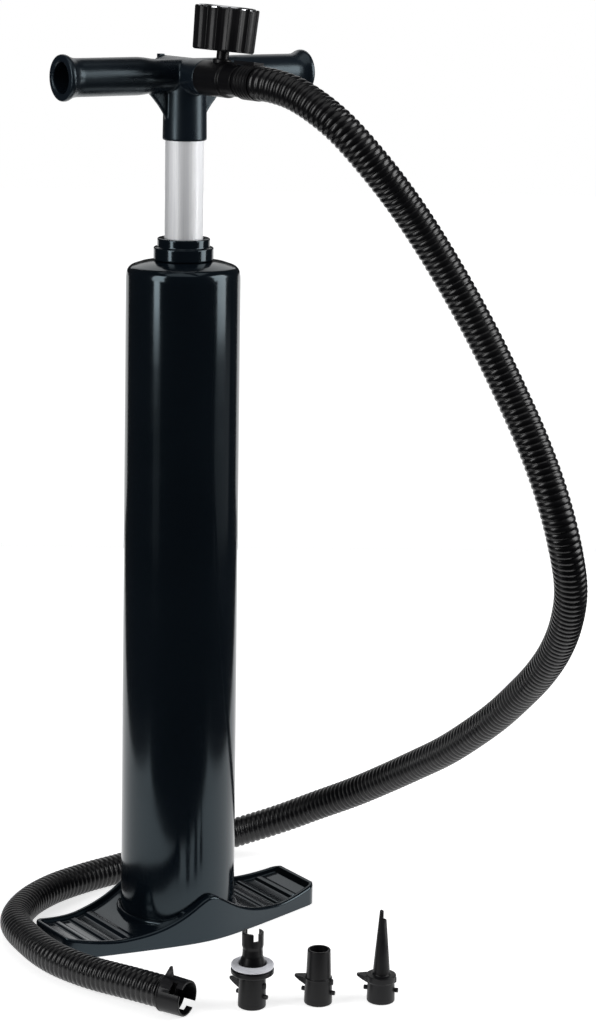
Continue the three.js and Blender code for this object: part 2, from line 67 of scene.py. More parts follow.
TO_PLUS_X = Matrix.Rotation(math.pi / 2, 4, "Y")
TO_MINUS_X = Matrix.Rotation(-math.pi / 2, 4, "Y")
TO_PLUS_Y = Matrix.Rotation(-math.pi / 2, 4, "X")
TO_MINUS_Y = Matrix.Rotation(math.pi / 2, 4, "X")
AT_HANDLE = Matrix.Translation((0, 0, HANDLE_AXIS))
AT_OUTLET = AT_HANDLE @ Matrix.Rotation(OUTLET_TILT, 4, "Y")
AT_GAUGE = AT_OUTLET @ Matrix.Translation((0, -45, 0))
AT_CONNECTOR = (Matrix.Translation(CONNECTOR_AT) @ Matrix.Rotation(CONNECTOR_TURN, 4, "Z")
                @ Matrix.Rotation(CONNECTOR_DIP, 4, "X") @ TO_MINUS_Y)


# ---- camera -----------------------------------------------------------------------------------
CAMERA_AT = (-1.05387, -1.64260, 0.75785)
CAMERA_AZIMUTH = math.radians(-35.19)
CAMERA_PITCH = math.radians(12.718)
CAMERA_ROLL = math.radians(1.095)
LENS_LENGTH = 64.17


def make_camera():
    """Looks slightly down on the pump from its front left."""
    data = bpy.data.cameras.new("camera")
    data.sensor_fit = "VERTICAL"
    data.sensor_height = 24
    data.lens = LENS_LENGTH
    data.clip_start = 0.05
    data.clip_end = 50
    camera = bpy.data.objects.new("camera", data)
    azimuth, pitch, roll = CAMERA_AZIMUTH, CAMERA_PITCH, CAMERA_ROLL
    reach = math.cos(pitch)
    forward = Vector((-math.sin(azimuth) * reach, math.cos(azimuth) * reach, -math.sin(pitch)))
    level = Vector((math.cos(azimuth), math.sin(azimuth), 0))
    upright = level.cross(forward)
    right = math.cos(roll) * level + math.sin(roll) * upright
    up = -math.sin(roll) * level + math.cos(roll) * upright
    turn = Matrix((right, up, -forward)).transposed().to_4x4()
    camera.matrix_world = Matrix.Translation(CAMERA_AT) @ turn
    bpy.context.scene.collection.objects.link(camera)
    bpy.context.scene.camera = camera


make_camera()


# ---- mesh tools -------------------------------------------------------------------------------
SAME_POINT_M = 1e-7
NEARLY_STRAIGHT = math.radians(172)
CORNER_SHARE = 0.42
BEVEL_ANGLE = math.radians(32)


def mesh_object(name, points, faces, scale=MM):
    """An object from points in millimetres and faces, with its normals turned outward."""
    mesh = bpy.data.meshes.new(name)
    mesh.from_pydata([tuple(c * scale for c in p) for p in points], [], faces)
    obj = bpy.data.objects.new(name, mesh)
    bpy.context.scene.collection.objects.link(obj)
    bm = bmesh.new()
    bm.from_mesh(mesh)
    bmesh.ops.remove_doubles(bm, verts=bm.verts, dist=SAME_POINT_M)
    bmesh.ops.recalc_face_normals(bm, faces=bm.faces)
    bm.to_mesh(mesh)
    bm.free()
    return obj


def softened(profile, radius, closed=False, steps=4):
    """The profile with each corner rounded; a corner on the axis or nearly straight stays."""
    result = []
    count = len(profile)
    for i, corner in enumerate(profile):
        at_end = not closed and i in (0, count - 1)
        before = Vector(profile[i - 1])
        after = Vector(profile[(i + 1) % count])
        here = Vector(corner)
        back, ahead = before - here, after - here
        if at_end or corner[0] == 0 or back.length < 1e-6 or ahead.length < 1e-6:
            result.append(tuple(corner))
            continue
        if back.angle(ahead) > NEARLY_STRAIGHT:
            result.append(tuple(corner))
            continue
        reach = min(radius, CORNER_SHARE * back.length, CORNER_SHARE * ahead.length)
        first = here + back.normalized() * reach
        last = here + ahead.normalized() * reach
        for k in range(steps + 1):
            t = k / steps
            point = first * (1 - t) ** 2 + here * 2 * t * (1 - t) + last * t ** 2
            result.append((point.x, point.y))
    return result


def lathe(name, profile, at=Matrix.Identity(4), segments=96, round_to=0.5, wobble=None):
    """Turns [radius, height] points about Z, then places them; a profile off the axis closes on itself.
    wobble, where given, maps an angle and a point to the radius used there."""
    closed = profile[0][0] > 0
    outline = softened(profile, round_to, closed) if round_to else list(profile)
    points, rings = [], []
    for radius, height in outline:
        if radius < 1e-6:
            rings.append([len(points)] * segments)
            points.append(at @ Vector((0, 0, height)))
            continue
        rings.append(list(range(len(points), len(points) + segments)))
        for k in range(segments):
            angle = 2 * math.pi * k / segments
            size = wobble(angle, radius, height) if wobble else radius
            points.append(at @ Vector((size * math.cos(angle), size * math.sin(angle), height)))
    if closed:
        rings.append(rings[0])
    faces = []
    for low, high in zip(rings, rings[1:]):
        for k in range(segments):
            n = (k + 1) % segments
            corners = list(dict.fromkeys((low[k], low[n], high[n], high[k])))
            if len(corners) > 2:
                faces.append(corners)
    return mesh_object(name, points, faces)


def box_at(low, high, at):
    xs, ys, zs = zip(low, high)
    points = [at @ Vector((x, y, z)) for x in xs for y in ys for z in zs]
    faces = [(0, 1, 3, 2), (4, 6, 7, 5), (0, 4, 5, 1), (2, 3, 7, 6), (0, 2, 6, 4), (1, 5, 7, 3)]
    return mesh_object("block", points, faces)


def prism(outline, low, high, at, name="prism"):
    """A flat outline of (x, y) points between two heights."""
    count = len(outline)
    points = [at @ Vector((x, y, z)) for z in (low, high) for x, y in outline]
    sides = [(k, (k + 1) % count, count + (k + 1) % count, count + k) for k in range(count)]
    return mesh_object(name, points, [list(range(count)), list(range(count, 2 * count))] + sides)


def apply_modifiers(obj):
    graph = bpy.context.evaluated_depsgraph_get()
    mesh = bpy.data.meshes.new_from_object(obj.evaluated_get(graph))
    obj.modifiers.clear()
    obj.data = mesh
    return obj


def combine(obj, others, operation):
    """Cuts the others out of obj, or joins them to it, and removes them."""
    for other in others:
        step = obj.modifiers.new(operation, "BOOLEAN")
        step.object = other
        step.operation = operation
        step.solver = "EXACT"
    apply_modifiers(obj)
    for other in others:
        bpy.data.objects.remove(other)
    return obj


def carve(obj, *cutters):
    return combine(obj, cutters, "DIFFERENCE")


def unite(obj, *others):
    return combine(obj, others, "UNION")


def unite_loose(name, parts):
    """One object made of separate solids that do not touch."""
    bm = bmesh.new()
    for part in parts:
        bm.from_mesh(part.data)
        bpy.data.objects.remove(part)
    mesh = bpy.data.meshes.new(name)
    bm.to_mesh(mesh)
    bm.free()
    obj = bpy.data.objects.new(name, mesh)
    bpy.context.scene.collection.objects.link(obj)
    return obj


def melt(obj, others, voxel, passes):
    """Joins overlapping closed pieces into one skin with soft inner corners."""
    unite(obj, *others)
    remesh = obj.modifiers.new("remesh", "REMESH")
    remesh.mode = "VOXEL"
    remesh.voxel_size = voxel * MM
    smooth = obj.modifiers.new("smooth", "SMOOTH")
    smooth.factor = 0.5
    smooth.iterations = passes
    return apply_modifiers(obj)


def bevelled(obj, width):
    step = obj.modifiers.new("bevel", "BEVEL")
    step.width = width * MM
    step.segments = 2
    step.limit_method = "ANGLE"
    step.angle_limit = BEVEL_ANGLE
    step.use_clamp_overlap = True
    return apply_modifiers(obj)


def finish_piece(obj, body, material, slot, *replaced):
    """Shades, colours and attaches a piece."""
    for polygon in obj.data.polygons:
        polygon.use_smooth = True
    weights = obj.modifiers.new("normals", "WEIGHTED_NORMAL")
    weights.keep_sharp = True
    weights.weight = 80
    obj.data.materials.clear()
    obj.data.materials.append(material)
    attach(obj, body)
    if replaced:
        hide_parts(*replaced)


# ---- materials --------------------------------------------------------------------------------
class Shader:
    """A Principled material and short ways to add nodes to it."""

    def __init__(self, name, color, roughness, metallic=0.0, **sockets):
        self.material = bpy.data.materials.new(name)
        self.material.use_nodes = True
        self.tree = self.material.node_tree
        self.main = self.tree.nodes["Principled BSDF"]
        self.set("Base Color", (*color, 1))
        self.set("Roughness", roughness)
        self.set("Metallic", metallic)
        for key, value in sockets.items():
            self.set(key.replace("_", " "), value)

    def set(self, socket, value):
        self.main.inputs[socket].default_value = value

    def node(self, kind, **inputs):
        node = self.tree.nodes.new(kind)
        for key, value in inputs.items():
            node.inputs[key].default_value = value
        return node

    def link(self, source, output, target, socket):
        self.tree.links.new(source.outputs[output], target.inputs[socket])

    def place(self, stretch=(1, 1, 1)):
        """Object coordinates, stretched."""
        coordinates = self.tree.nodes.new("ShaderNodeTexCoord")
        mapping = self.tree.nodes.new("ShaderNodeMapping")
        mapping.inputs["Scale"].default_value = stretch
        self.link(coordinates, "Object", mapping, "Vector")
        return mapping

    def noise(self, scale, detail=3.0, stretch=(1, 1, 1)):
        noise = self.node("ShaderNodeTexNoise", Scale=scale, Detail=detail)
        self.link(self.place(stretch), "Vector", noise, "Vector")
        return noise

    def ramp(self, source, stops, output="Fac"):
        """Maps a grey value through (place, value) stops, where a value is a number or a colour."""
        ramp = self.tree.nodes.new("ShaderNodeValToRGB")
        elements = ramp.color_ramp.elements
        while len(elements) < len(stops):
            elements.new(0.5)
        for element, (place, value) in zip(elements, stops):
            element.position = place
            element.color = (*value, 1) if isinstance(value, tuple) else (value, value, value, 1)
        self.link(source, output, ramp, "Fac")
        return ramp

    def bump(self, *layers):
        """Stacks (source, strength, depth in mm) layers of relief."""
        last = None
        for source, strength, depth in layers:
            bump = self.node("ShaderNodeBump", Strength=strength, Distance=depth * MM)
            self.link(source, "Fac" if "Fac" in source.outputs else "Color", bump, "Height")
            if last:
                self.link(last, "Normal", bump, "Normal")
            last = bump
        self.link(last, "Normal", self.main, "Normal")
        return self


EDGE_STOPS = [(0.52, 0.0), (0.62, 0.5)]
WORN_GAIN = 2.2
WORN_LIFT = 0.004
WAVES = {"scale": 55, "strength": 0.25, "depth": 0.02}


def moulded(name, dark, light, roughness, grain, grain_depth, shine=0.5, tint=(1, 1, 1)):
    """Moulded plastic: faint colour drift, uneven gloss, fine grain and paler worn edges."""
    shader = Shader(name, dark, roughness[0], Specular_IOR_Level=shine, Specular_Tint=(*tint, 1))
    drift = shader.ramp(shader.noise(9, 4), [(0.35, dark), (0.7, light)])
    edges = shader.ramp(shader.tree.nodes.new("ShaderNodeNewGeometry"), EDGE_STOPS, "Pointiness")
    worn = shader.tree.nodes.new("ShaderNodeMix")
    worn.data_type = "RGBA"
    shader.link(edges, "Color", worn, "Factor")
    shader.link(drift, "Color", worn, "A")
    worn.inputs["B"].default_value = (*[c * WORN_GAIN + WORN_LIFT for c in light], 1)
    shader.link(worn, "Result", shader.main, "Base Color")
    gloss = shader.ramp(shader.noise(38, 6), [(0.3, roughness[0]), (0.75, roughness[1])])
    shader.link(gloss, "Color", shader.main, "Roughness")
    fine = (shader.noise(grain, 2), 0.25, grain_depth)
    shader.bump(fine, (shader.noise(WAVES["scale"], 2), WAVES["strength"], WAVES["depth"]))
    return shader.material


def brushed_tube():
    """Drawn aluminium, with its fine lines along the tube and its highlights spread around it."""
    shader = Shader("brushed_aluminium", (0.92, 0.93, 0.95), 0.5, 0.85, Anisotropic=0.8)
    tangent = shader.tree.nodes.new("ShaderNodeTangent")
    tangent.direction_type = "RADIAL"
    tangent.axis = "Z"
    shader.link(tangent, "Tangent", shader.main, "Tangent")
    lines = shader.noise(900, 4, (1, 1, 0.012))
    tones = shader.ramp(lines, [(0.3, (0.86, 0.87, 0.90)), (0.7, (0.96, 0.97, 0.98))])
    shader.link(tones, "Color", shader.main, "Base Color")
    gloss = shader.ramp(shader.noise(500, 3, (1, 1, 0.02)), [(0.3, 0.46), (0.7, 0.56)])
    shader.link(gloss, "Color", shader.main, "Roughness")
    return shader.bump((lines, 0.2, 0.02)).material


def metal(name, color, roughness):
    shader = Shader(name, color, roughness, 1.0)
    spots = shader.noise(300, 4)
    gloss = shader.ramp(spots, [(0.3, roughness), (0.7, roughness + 0.12)])
    shader.link(gloss, "Color", shader.main, "Roughness")
    return shader.bump((spots, 0.2, 0.02)).material


def rubber(name, color, roughness, grain=700, contrast=0.25):
    shader = Shader(name, color, roughness)
    speckle = shader.noise(grain, 5)
    low, high = (tuple(c * (1 + side * contrast) for c in color) for side in (-1, 1))
    shader.link(shader.ramp(speckle, [(0.3, low), (0.7, high)]), "Color", shader.main, "Base Color")
    return shader.bump((speckle, contrast, 0.03)).material


NAVY_SHEEN = (0.72, 0.90, 1.0)
NAVY = moulded(
    "navy_plastic", (0.0030, 0.0052, 0.0082), (0.0042, 0.0070, 0.0105), (0.11, 0.17), 1400, 0.003,
    tint=NAVY_SHEEN)
NAVY_GRAIN = moulded(
    "navy_handle_plastic", (0.0050, 0.0085, 0.0135), (0.0070, 0.0110, 0.0165), (0.24, 0.34), 1500, 0.012,
    tint=NAVY_SHEEN)
BLACK = moulded(
    "black_plastic", (0.0036, 0.0036, 0.0044), (0.0060, 0.0060, 0.0070), (0.3, 0.42), 1600, 0.012, 0.24)
HOSE_BLACK = moulded(
    "hose_plastic", (0.0030, 0.0030, 0.0038), (0.0048, 0.0048, 0.0058), (0.24, 0.34), 900, 0.012, 0.4)
ALUMINIUM = brushed_tube()
STEEL = metal("plated_steel", (0.62, 0.63, 0.65), 0.22)
BRASS = metal("brass", (0.72, 0.55, 0.28), 0.28)
RUBBER = rubber("seal_rubber", (0.012, 0.012, 0.012), 0.7)
WASHER_GREY = rubber("washer_rubber", (0.74, 0.75, 0.80), 0.6, 300, 0.03)
WHITE = moulded("white_plastic", (0.78, 0.78, 0.76), (0.84, 0.84, 0.82), (0.35, 0.45), 1200, 0.01)
RED = moulded("needle_paint", (0.5, 0.02, 0.015), (0.6, 0.03, 0.02), (0.35, 0.45), 1200, 0.01)


def clear_lens():
    shader = Shader("clear_lens", (1, 1, 1), 0.03, 0.0, Transmission_Weight=1.0, IOR=1.49)
    return shader.bump((shader.noise(60, 2), 0.1, 0.01)).material


LENS = clear_lens()

SLOT_MATERIALS = {
    "plastic_navy": NAVY,
    "plastic_black": BLACK,
    "hose_black": HOSE_BLACK,
    "rubber_black": RUBBER,
    "aluminium_tube": ALUMINIUM,
    "steel_bright": STEEL,
    "brass_plain": BRASS,
    "plastic_white": WHITE,
    "plastic_grey": WASHER_GREY,
    "lens_clear": LENS,
    "needle_red": RED,
}


def paint_cad_nodes():
    """Gives every carried-over CAD node its finish; the new pieces replace most of the outer ones."""
    for entry in frame["record"]["subparts"]:
        node = NODES[entry["node"]]
        node.data.materials.clear()
        node.data.materials.append(SLOT_MATERIALS[entry["material_slot"]])


paint_cad_nodes()


# ---- hose -------------------------------------------------------------------------------------
# Leaves the outlet to -Y, falls in a wide arc on the right, lies on the floor behind the barrel and
# round the left end of the foot plate.
HOSE_ROUTE = [
    (0, -94.5, 632), (0, -98, 632), (2, -107, 631.3), (9, -125, 626.5), (22, -153, 609),
    (41, -171, 582), (62, -181, 553), (80, -191, 523), (95, -203, 492), (108, -216, 460),
    (119, -229, 428), (127, -244, 396), (134, -257, 362), (143, -262, 327), (156, -255, 294),
    (168, -238, 264), (178, -216, 237), (185, -191, 212), (190, -163, 188), (193, -135, 165),
    (193, -106, 143), (192, -76, 122), (189, -45, 103), (183, -14, 84), (175, 16, 66),
    (162, 46, 49), (142, 72, 33), (115, 92, 21), (80, 101, 14), (44, 98, 12), (8, 92, 12),
    (-28, 88, 12), (-64, 79, 12), (-96, 61, 12), (-120, 34, 12), (-129, -3, 12), (-131, -40, 12),
    (-124, -75, 12), (-110, -117.5, 14), (-100.6, -139.9, 14),
]
RIB_PITCH = 4.4
RIB_DEPTH = 1.5
RIB_SAMPLES = 8
RIB_ROUNDNESS = 0.96
HOSE_SIDES = 28
CURVE_SAMPLES = 24
SMOOTHING_PASSES = 60
PATH_STRIDE = 12


def centripetal(points, step):
    """A centripetal Catmull-Rom curve through the points, in equal steps."""
    knots = np.array(points, float)
    knots = np.vstack([2 * knots[0] - knots[1], knots, 2 * knots[-1] - knots[-2]])
    dense = []
    for p0, p1, p2, p3 in zip(knots, knots[1:], knots[2:], knots[3:]):
        t0 = 0.0
        t1 = t0 + np.linalg.norm(p1 - p0) ** 0.5
        t2 = t1 + np.linalg.norm(p2 - p1) ** 0.5
        t3 = t2 + np.linalg.norm(p3 - p2) ** 0.5
        for t in np.linspace(t1, t2, CURVE_SAMPLES, endpoint=False):
            a1 = (t1 - t) / (t1 - t0) * p0 + (t - t0) / (t1 - t0) * p1
            a2 = (t2 - t) / (t2 - t1) * p1 + (t - t1) / (t2 - t1) * p2
            a3 = (t3 - t) / (t3 - t2) * p2 + (t - t2) / (t3 - t2) * p3
            b1 = (t2 - t) / (t2 - t0) * a1 + (t - t0) / (t2 - t0) * a2
            b2 = (t3 - t) / (t3 - t1) * a2 + (t - t1) / (t3 - t1) * a3
            dense.append((t2 - t) / (t2 - t1) * b1 + (t - t1) / (t2 - t1) * b2)
    dense.append(knots[-2])
    dense = np.array(dense)
    along = np.concatenate([[0], np.cumsum(np.linalg.norm(np.diff(dense, axis=0), axis=1))])
    count = max(2, int(round(along[-1] / step)))
    places = np.linspace(0, along[-1], count + 1)
    line = np.stack([np.interp(places, along, dense[:, k]) for k in range(3)], axis=1)
    return line, places


def smoothed(line, passes):
    """Evens out the line without moving its ends."""
    for _ in range(passes):
        line[1:-1] = (line[:-2] + 2 * line[1:-1] + line[2:]) / 4
    return line


def make_hose():
    """A blow-moulded hose with one helical rib."""
    line, places = centripetal(HOSE_ROUTE, RIB_PITCH / RIB_SAMPLES)
    line = smoothed(line, SMOOTHING_PASSES)
    length = float(np.sum(np.linalg.norm(np.diff(line, axis=0), axis=1)))
    tangents = np.gradient(line, axis=0)
    tangents /= np.linalg.norm(tangents, axis=1)[:, None]
    normal = np.array([0.0, 0.0, 1.0])
    angles = np.arange(HOSE_SIDES) * 2 * math.pi / HOSE_SIDES
    rings = []
    for centre, tangent, place in zip(line, tangents, places):
        normal = normal - tangent * np.dot(normal, tangent)
        normal /= np.linalg.norm(normal)
        side = np.cross(tangent, normal)
        phase = (place / RIB_PITCH + angles / (2 * math.pi)) % 1.0
        crest = np.sqrt(np.clip(1 - (2 * phase - 1) ** 2 * RIB_ROUNDNESS, 0, 1))
        radius = HOSE_DIAMETER / 2 - RIB_DEPTH * (1 - crest)
        spokes = np.cos(angles)[:, None] * normal + np.sin(angles)[:, None] * side
        rings.append(centre + radius[:, None] * spokes)
    points = [tuple(p) for p in np.concatenate(rings)] + [tuple(line[0]), tuple(line[-1])]
    faces = []
    for r in range(len(rings) - 1):
        base = r * HOSE_SIDES
        for k in range(HOSE_SIDES):
            n = (k + 1) % HOSE_SIDES
            faces.append((base + k, base + n, base + HOSE_SIDES + n, base + HOSE_SIDES + k))
    last = (len(rings) - 1) * HOSE_SIDES
    for k in range(HOSE_SIDES):
        n = (k + 1) % HOSE_SIDES
        faces.append((n, k, len(points) - 2))
        faces.append((last + k, last + n, len(points) - 1))
    hose = mesh_object("corrugated_hose", points, faces)
    for polygon in hose.data.polygons:
        polygon.use_smooth = True
    hose.data.materials.append(HOSE_BLACK)
    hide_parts("hose_tube")
    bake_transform(hose)
    path = line[::PATH_STRIDE] * MM
    if not np.allclose(path[-1], line[-1] * MM):
        path = np.vstack([path, line[-1] * MM])


# ---- hose end connector -----------------------------------------------------------------------
def wedge(start, end, low, high, at):
    """A sector about Z from one angle to another in degrees, for cutting slots in a round wall."""
    steps, reach = 6, 16
    angles = [math.radians(start + (end - start) * k / steps) for k in range(steps + 1)]
    arc = [(reach * math.cos(a), reach * math.sin(a)) for a in angles]
    return prism([(0, 0)] + arc, low, high, at)


def make_connector():
    """The bayonet socket on the hose end: ring, barrel, two J-slots and a finger fin."""
    end = 19.5
    shell = lathe("hose_connector_shell", [
        (8, 0.7), (12.9, 0.7), (13.4, 1.3), (13.4, 2.0), (13.1, 2.6), (12.8, end - 0.5), (12.4, end),
        (11.3, end), (11.3, 5), (8, 5),
    ], AT_CONNECTOR, 96, 0.3)
    cutters = []
    for side in (0, 180):
        turn = AT_CONNECTOR @ Matrix.Rotation(math.radians(side), 4, "Z")
        foot = wedge(108, 153, end - 9.3, end - 4.7, turn)
        entry = wedge(129, 153, end - 5, end + 1, turn)
        cutters.append(unite(foot, entry))
    carve(shell, *cutters)
    blade = mesh_object("fin", [AT_CONNECTOR @ Vector(p) for p in [
        (-1.3, 12, 0.8), (1.3, 12, 0.8), (1.3, 12, 7.4), (-1.3, 12, 7.4),
        (-0.8, 20.4, 4.8), (0.8, 20.4, 4.8), (0.8, 20.4, 6.2), (-0.8, 20.4, 6.2)]],
        [(0, 1, 2, 3), (4, 5, 6, 7), (0, 1, 5, 4), (1, 2, 6, 5), (2, 3, 7, 6), (3, 0, 4, 7)])
    unite(shell, blade)
    bevelled(shell, 0.35)
    finish_piece(shell, "pump_body", BLACK, "plastic_black", "hose_connector")


make_connector()
make_hose()


# ---- barrel, gland and rod --------------------------------------------------------------------
def make_barrel():
    profile = [
        (42.6, 12.3), (41.1, 486), (41.05, 489.5), (40.3, 494.2), (37.9, 496.9), (30.8, 499.3),
        (22.2, 501), (17.2, 501), (17.2, 507), (14.6, 507), (14.6, 496), (35, 496), (38.5, 490),
        (38.5, 12.3),
    ]
    barrel = lathe("barrel_shell", profile, segments=160, round_to=1.6)
    finish_piece(barrel, "pump_body", NAVY, "plastic_navy", "barrel")


def make_gland_nut():
    nut = lathe("gland_nut_shell", [
        (17.5, 501.3), (21.5, 501.3), (21.5, 510.5), (18.9, 510.5), (18.9, 517), (14, 517), (14, 514),
        (17.5, 514),
    ], segments=128, round_to=1.3)
    finish_piece(nut, "pump_body", NAVY, "plastic_navy", "gland_nut")


def make_rod():
    rod = lathe("rod_tube_shell", [(12.2, 131.6), (13.7, 131.6), (13.7, 618), (12.2, 618)],
                segments=128, round_to=0.3)
    finish_piece(rod, "plunger", ALUMINIUM, "aluminium_tube", "rod_tube")


make_barrel()
make_gland_nut()
make_rod()


# ---- foot plate -------------------------------------------------------------------------------
PLATE_HALF_LENGTH = 110.5
PLATE_HALF_WIDTH = 48.5
PLATE_CORNER = 8
TAPER = 0.26
TAPER_START = 25
RIM_BASE = 9
SHIELD_HEIGHT = 25
SHIELD_SPREAD = 27.7
SHIELD_POWER = 1.27
SHIELD_CREST = 4
UPTURN_START = 68
UPTURN = 0.018
UPTURN_POWER = 1.6
LIP = 4.6
RECESS = 3.5
RIM_ROUND = 2.4
DISH_START = 22
TREADS = (60, 75, 90)
TREAD_HALF_WIDTH = 4.0
TREAD_HEIGHT = 1.6
HOLLOW_START = 49
SKIN = 3
COLUMN_COUNT = 240
ROW_COUNT = 84
EDGE_STEPS = (0, 0.08, 0.3, 0.65, 1.1, 1.7, 2.4, 3.2, 3.8, 4.3, 4.8, 5.3, 6.0, 6.6, 7.2)


def plate_half_width(x):
    corner = max(0, abs(x) - PLATE_HALF_LENGTH + PLATE_CORNER)
    taper = TAPER * (math.hypot(x, TAPER_START) - TAPER_START)
    rounding = PLATE_CORNER - math.sqrt(max(0, PLATE_CORNER ** 2 - corner ** 2))
    return PLATE_HALF_WIDTH - taper - rounding


def rim_height(x):
    """The lip is highest at the shield in the middle, and turns up again towards each end."""
    along = math.hypot(x, SHIELD_CREST) - SHIELD_CREST
    shield = SHIELD_HEIGHT * math.exp(-((along / SHIELD_SPREAD) ** SHIELD_POWER))
    upturn = UPTURN * max(0, abs(x) - UPTURN_START) ** UPTURN_POWER
    return RIM_BASE + shield + upturn


def ease(value):
    t = min(1, max(0, value))
    return t * t * (3 - 2 * t)


def plate_top(x, y):
    """Height of the plate's upper side: rounded rim, dished wings and tread ribs."""
    inward = min(plate_half_width(x) - abs(y), PLATE_HALF_LENGTH - abs(x))
    rim = rim_height(x)
    from_arc = 1 - min(1, inward / RIM_ROUND)
    edge = RIM_ROUND * (1 - math.sqrt(max(0, 1 - from_arc ** 2)))
    dish = min(inward - LIP, abs(x) - DISH_START)
    tread = max(ease((TREAD_HALF_WIDTH - abs(abs(x) - place)) / 2.2) for place in TREADS)
    rib = TREAD_HEIGHT * tread * ease((dish - 1.8) / 0.9)
    return rim - edge - RECESS * ease((dish + 1.2) / 3.0) + rib


def spread(limit, near_edge, inner_count):
    """Places from -limit to limit that bunch at both edges."""
    inner_limit = limit - near_edge[-1]
    middle = [inner_limit * (2 * k / inner_count - 1) for k in range(1, inner_count)]
    low = [-(limit - d) for d in near_edge]
    return low + middle + [limit - d for d in reversed(near_edge)]


def make_foot_plate():
    """A grid skin over and under the plate, closed round its edge, with the barrel's collar."""
    columns = spread(PLATE_HALF_LENGTH, EDGE_STEPS, COLUMN_COUNT)
    rows = [spread(plate_half_width(x), EDGE_STEPS, ROW_COUNT) for x in columns]
    count = len(rows[0])
    points = [(x, y, plate_top(x, y)) for x, places in zip(columns, rows) for y in places]
    top = len(points)
    for x, places in zip(columns, rows):
        for y in places:
            from_side = plate_half_width(x) - abs(y)
            inward = min(from_side, PLATE_HALF_LENGTH - abs(x), abs(x) - HOLLOW_START)
            roof = max(0, rim_height(x) - RECESS - SKIN)
            points.append((x, y, roof * ease((inward - 2.4) / 0.8)))
    faces = []
    for c in range(len(columns) - 1):
        for r in range(count - 1):
            a = c * count + r
            faces.append((a, a + count, a + count + 1, a + 1))
            faces.append((top + a, top + a + 1, top + a + count + 1, top + a + count))
    last = (len(columns) - 1) * count
    for r in range(count - 1):
        faces.append((r, r + 1, top + r + 1, top + r))
        faces.append((last + r + 1, last + r, top + last + r, top + last + r + 1))
    for c in range(len(columns) - 1):
        a, b = c * count, (c + 1) * count
        faces.append((b, a, top + a, top + b))
        faces.append((a + count - 1, b + count - 1, top + b + count - 1, top + a + count - 1))
    plate = mesh_object("foot_plate_shell", points, faces)
    collar = [(0, 5), (45.4, 5), (45.4, 13.7), (44.6, 14.6), (0, 14.6)]
    unite(plate, lathe("collar", collar, segments=160, round_to=0.6))
    socket = [(0, 12), (42.9, 12), (42.9, 60), (0, 60)]
    carve(plate, lathe("socket", socket, segments=160, round_to=0))
    finish_piece(plate, "pump_body", NAVY, "plastic_navy", "foot_plate")


make_foot_plate()


# ---- handle -----------------------------------------------------------------------------------
def make_handle():
    """The T-handle: two hollow grips, the rod socket, the air outlet and a web under each arm."""
    end = 101.4
    arm = [
        (0, -6), (11.6, -6), (11.6, 24), (11.9, 28), (12.9, 35), (13.3, 40), (13.3, end - 12),
        (13.7, end - 8.5), (14.9, end - 5.4), (16.1, end - 3.4), (16.1, end - 0.9), (15.4, end), (0, end),
    ]
    left = lathe("handle_shell", arm, AT_HANDLE @ TO_MINUS_X, 128, 0.8)
    right = lathe("arm", arm, AT_HANDLE @ TO_PLUS_X, 128, 0.8)
    outlet = lathe("outlet", [(0, -28), (12.3, -28), (12.3, 26), (0, 26)],
                   AT_HANDLE @ TO_PLUS_Y, 96, 0.5)
    socket = lathe("socket", [(0, 586.5), (15.7, 586.5), (15.1, HANDLE_AXIS), (0, HANDLE_AXIS)],
                   segments=128)
    webs = []
    for side in (1, -1):
        foot, middle, tip = Vector((14.7, 599.5)), Vector((19.7, 610.5)), Vector((32, 621.5))
        edge = [foot * (1 - t) ** 2 + middle * 2 * t * (1 - t) + tip * t ** 2
                for t in (k / 10 for k in range(11))]
        outline = [(0, 599.5)] + [(p.x, p.y) for p in edge] + [(0, 621.5)]
        outline = [(side * x, z) for x, z in outline]
        webs.append(prism(outline, -1.6, 1.6, TO_MINUS_Y))
    melt(left, [right, outlet, socket, *webs], 0.62, 6)
    bore = [(0, 40), (10.8, 40), (10.8, end - 1), (12, end + 0.4), (12, end + 4), (0, end + 4)]
    grips = [lathe("grip_bore", bore, AT_HANDLE @ turn, 96, 0.3) for turn in (TO_PLUS_X, TO_MINUS_X)]
    rod_hole = lathe("rod_hole", [(0, 580), (14, 580), (14, 618.3), (9, 618.3), (9, 640), (0, 640)],
                     round_to=0)
    air_way = lathe("air_way", [(0, -35), (8.4, -35), (8.4, 35), (0, 35)], AT_HANDLE @ TO_PLUS_Y,
                    round_to=0)
    screw_hole = lathe("screw_hole", [(0, 10), (2.5, 10), (2.5, 18), (0, 18)],
                       Matrix.Translation((0, 0, 604)) @ TO_PLUS_Y, 32, 0)
    carve(left, *grips, rod_hole, air_way, screw_hole)
    finish_piece(left, "plunger", NAVY_GRAIN, "plastic_navy", "handle")


def make_rear_cap():
    cap = lathe("rear_port_cap_shell", [
        (0, 14), (8.1, 14), (8.1, 18), (6.4, 18), (6.4, 20.6), (8.1, 20.6), (8.1, 26.3), (12.3, 26.3),
        (12.3, 28.2), (11.4, 29.2), (0, 29.2),
    ], AT_HANDLE @ TO_PLUS_Y, 96, 0.5)
    tab = box_at((-4.2, -13.2, 27), (-0.2, -2, 31), AT_HANDLE @ TO_PLUS_Y)
    bevelled(unite(cap, tab), 0.35)
    finish_piece(cap, "rear_cap", NAVY, "plastic_navy", "rear_port_cap")


make_handle()
make_rear_cap()


